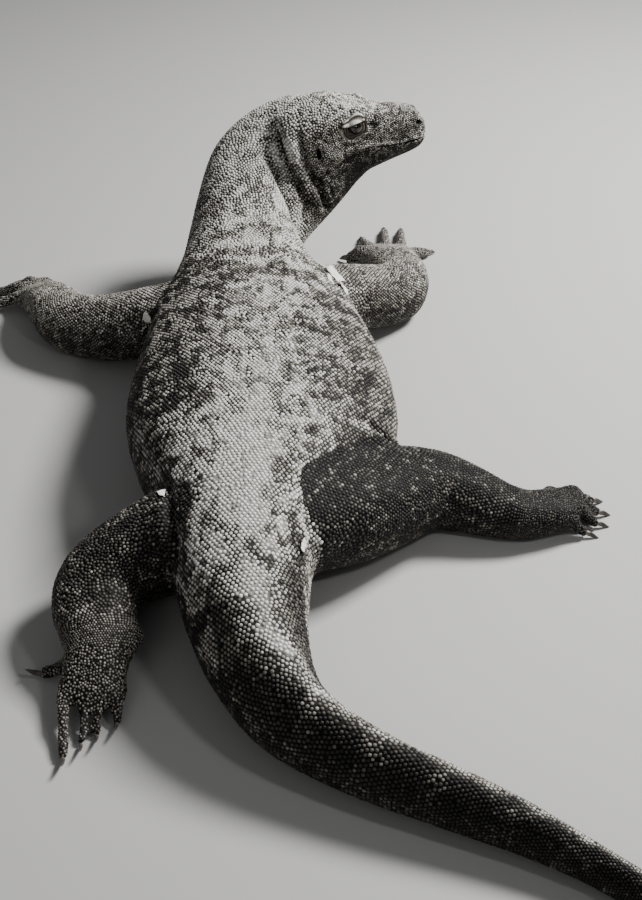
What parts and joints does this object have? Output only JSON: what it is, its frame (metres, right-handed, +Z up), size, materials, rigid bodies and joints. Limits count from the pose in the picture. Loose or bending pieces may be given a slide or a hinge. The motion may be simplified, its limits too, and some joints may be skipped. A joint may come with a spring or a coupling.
{
  "type": "komodo dragon",
  "caption": "Life-size adult Komodo dragon resting on its belly, legs sprawled, head raised and turned to its right, tail curving away to one side",
  "frame": {"origin": "middle of the footprint, on the floor under the animal", "axes": "+Y is the way the trunk points, from hips to shoulders; +X is the animal's right; +Z is up"},
  "size_m": [1.61, 1.8486, 0.3858],
  "materials": {
    "hide": "dry bead-like scales, matte, grey-brown with paler mottling",
    "eye": "wet and glossy, dark brown",
    "claw": "polished horn, worn paler at the tip"
  },
  "bodies": {
    "root": {"claw_foot_left_1": "claw", "claw_foot_left_2": "claw", "claw_foot_left_3": "claw", "claw_foot_left_4": "claw", "claw_foot_left_5": "claw", "claw_foot_right_1": "claw", "claw_foot_right_2": "claw", "claw_foot_right_3": "claw", "claw_foot_right_4": "claw", "claw_foot_right_5": "claw", "claw_hand_left_1": "claw", "claw_hand_left_2": "claw", "claw_hand_left_3": "claw", "claw_hand_left_4": "claw", "claw_hand_left_5": "claw", "claw_hand_right_1": "claw", "claw_hand_right_2": "claw", "claw_hand_right_3": "claw", "claw_hand_right_4": "claw", "claw_hand_right_5": "claw", "eye_left": "eye", "eye_right": "eye", "foot_left": "hide", "foot_right": "hide", "forearm_left": "hide", "forearm_right": "hide", "hand_left": "hide", "hand_right": "hide", "head": "hide", "jaw": "hide", "neck": "hide", "pelvis": "hide", "shank_left": "hide", "shank_right": "hide", "tail_base": "hide", "tail_middle": "hide", "tail_rear": "hide", "tail_tip": "hide", "thigh_left": "hide", "thigh_right": "hide", "trunk": "hide", "upper_arm_left": "hide", "upper_arm_right": "hide"}
  },
  "joints": []
}
